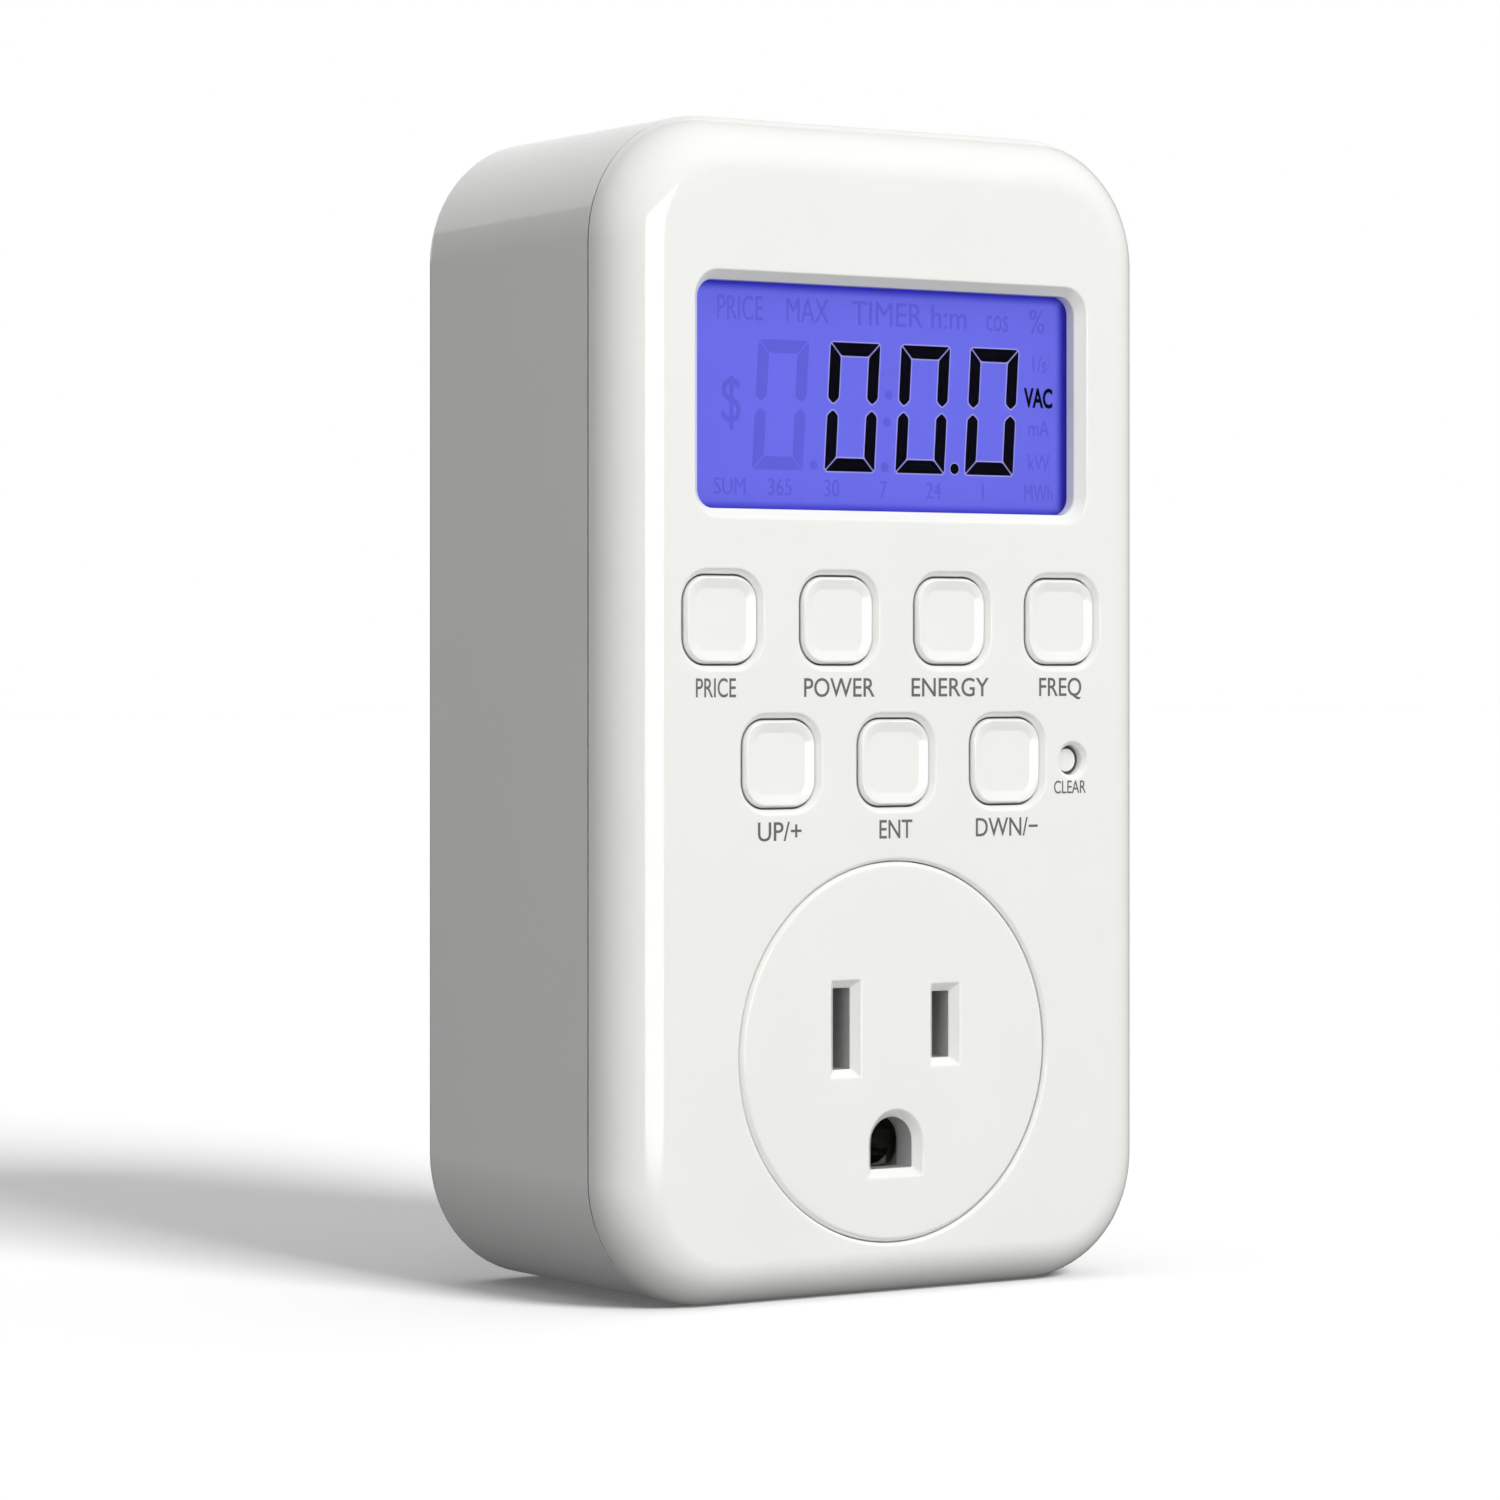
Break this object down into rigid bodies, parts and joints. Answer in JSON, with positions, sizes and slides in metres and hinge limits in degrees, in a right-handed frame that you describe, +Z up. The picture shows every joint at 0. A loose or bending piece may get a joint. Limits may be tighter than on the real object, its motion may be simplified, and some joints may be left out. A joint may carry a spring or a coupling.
{
  "type": "plug-in power meter",
  "caption": "Plug-in meter for the power an appliance draws: a display, keys, a reset button and a grounded outlet in front, and a grounded plug behind.",
  "frame": {"origin": "middle of the flat bottom face, which the case stands on, halfway between its front and rear faces", "axes": "+Z up along the case, from the outlet to the display; the front faces -Y and the plug points along +Y; +X is to the right as the front is seen"},
  "size_m": [0.068, 0.058, 0.12],
  "materials": {
    "case_white": "glossy warm white, moulded",
    "key_white": "glossy white, moulded",
    "clear_window": "clear flat window",
    "display_blue": "backlit blue liquid crystal panel",
    "light_guide": "clear to milky acrylic",
    "natural_plastic": "natural moulded plastic",
    "grey_plastic": "dark grey moulded plastic",
    "black_plastic": "black moulded plastic",
    "board_green": "solder mask on glass laminate",
    "rubber_grey": "conductive rubber",
    "brass": "bright rolled strip",
    "nickel_plate": "nickel plated, fine drawn grain",
    "steel_screw": "zinc plated steel",
    "switch_metal": "tinned steel cover",
    "shunt_metal": "bare resistance alloy",
    "capacitor_yellow": "moulded box",
    "sleeve_blue": "shrink sleeve",
    "varistor_blue": "dipped coating",
    "battery_green": "shrink sleeve",
    "cable_grey": "ribbon cable",
    "lead_white": "insulated lead",
    "lead_black": "insulated lead"
  },
  "bodies": {
    "case": {"front_cover": "case_white", "rear_housing": "case_white", "outlet_face": "case_white", "switch_cost": "switch_metal", "switch_power": "switch_metal", "switch_energy": "switch_metal", "switch_frequency": "switch_metal", "switch_volt": "switch_metal", "switch_set": "switch_metal", "switch_amp": "switch_metal", "switch_reset": "switch_metal", "display_window": "clear_window", "lcd_panel": "display_blue", "backlight_panel": "light_guide", "lcd_frame": "natural_plastic", "backlight_led": "light_guide", "contact_strip": "rubber_grey", "display_board": "board_green", "controller_chip": "black_plastic", "contact_housing": "grey_plastic", "contact_retainer": "grey_plastic", "neutral_contact": "brass", "hot_contact": "brass", "ground_contact": "brass", "neutral_blade": "nickel_plate", "hot_blade": "nickel_plate", "ground_pin": "nickel_plate", "blade_carrier": "natural_plastic", "current_shunt": "shunt_metal", "power_board": "board_green", "film_capacitor": "capacitor_yellow", "electrolytic_capacitor": "sleeve_blue", "varistor": "varistor_blue", "metering_chip": "black_plastic", "backup_battery": "battery_green", "ribbon_cable": "cable_grey", "neutral_lead": "lead_white", "hot_lead": "lead_black", "case_screw_bottom_left": "steel_screw", "case_screw_bottom_right": "steel_screw", "case_screw_top_left": "steel_screw", "case_screw_top_right": "steel_screw", "board_screw_left": "steel_screw", "board_screw_right": "steel_screw"},
    "key_cost": {"key_cost": "key_white", "plunger_cost": "black_plastic"},
    "key_power": {"key_power": "key_white", "plunger_power": "black_plastic"},
    "key_energy": {"key_energy": "key_white", "plunger_energy": "black_plastic"},
    "key_frequency": {"key_frequency": "key_white", "plunger_frequency": "black_plastic"},
    "key_volt": {"key_volt": "key_white", "plunger_volt": "black_plastic"},
    "key_set": {"key_set": "key_white", "plunger_set": "black_plastic"},
    "key_amp": {"key_amp": "key_white", "plunger_amp": "black_plastic"},
    "reset_button": {"reset_button": "key_white", "plunger_reset": "black_plastic"}
  },
  "joints": [
    {"name": "key_cost_press", "type": "slide", "parent": "case", "child": "key_cost", "axis": [0, 1, 0], "range_m": [0, 0.0003], "stiffness_N_per_m": 2000, "springref_m": -0.0002},
    {"name": "key_power_press", "type": "slide", "parent": "case", "child": "key_power", "axis": [0, 1, 0], "range_m": [0, 0.0003], "stiffness_N_per_m": 2000, "springref_m": -0.0002},
    {"name": "key_energy_press", "type": "slide", "parent": "case", "child": "key_energy", "axis": [0, 1, 0], "range_m": [0, 0.0003], "stiffness_N_per_m": 2000, "springref_m": -0.0002},
    {"name": "key_frequency_press", "type": "slide", "parent": "case", "child": "key_frequency", "axis": [0, 1, 0], "range_m": [0, 0.0003], "stiffness_N_per_m": 2000, "springref_m": -0.0002},
    {"name": "key_volt_press", "type": "slide", "parent": "case", "child": "key_volt", "axis": [0, 1, 0], "range_m": [0, 0.0003], "stiffness_N_per_m": 2000, "springref_m": -0.0002},
    {"name": "key_set_press", "type": "slide", "parent": "case", "child": "key_set", "axis": [0, 1, 0], "range_m": [0, 0.0003], "stiffness_N_per_m": 2000, "springref_m": -0.0002},
    {"name": "key_amp_press", "type": "slide", "parent": "case", "child": "key_amp", "axis": [0, 1, 0], "range_m": [0, 0.0003], "stiffness_N_per_m": 2000, "springref_m": -0.0002},
    {"name": "reset_button_press", "type": "slide", "parent": "case", "child": "reset_button", "axis": [0, 1, 0], "range_m": [0, 0.0003], "stiffness_N_per_m": 2000, "springref_m": -0.0002}
  ]
}
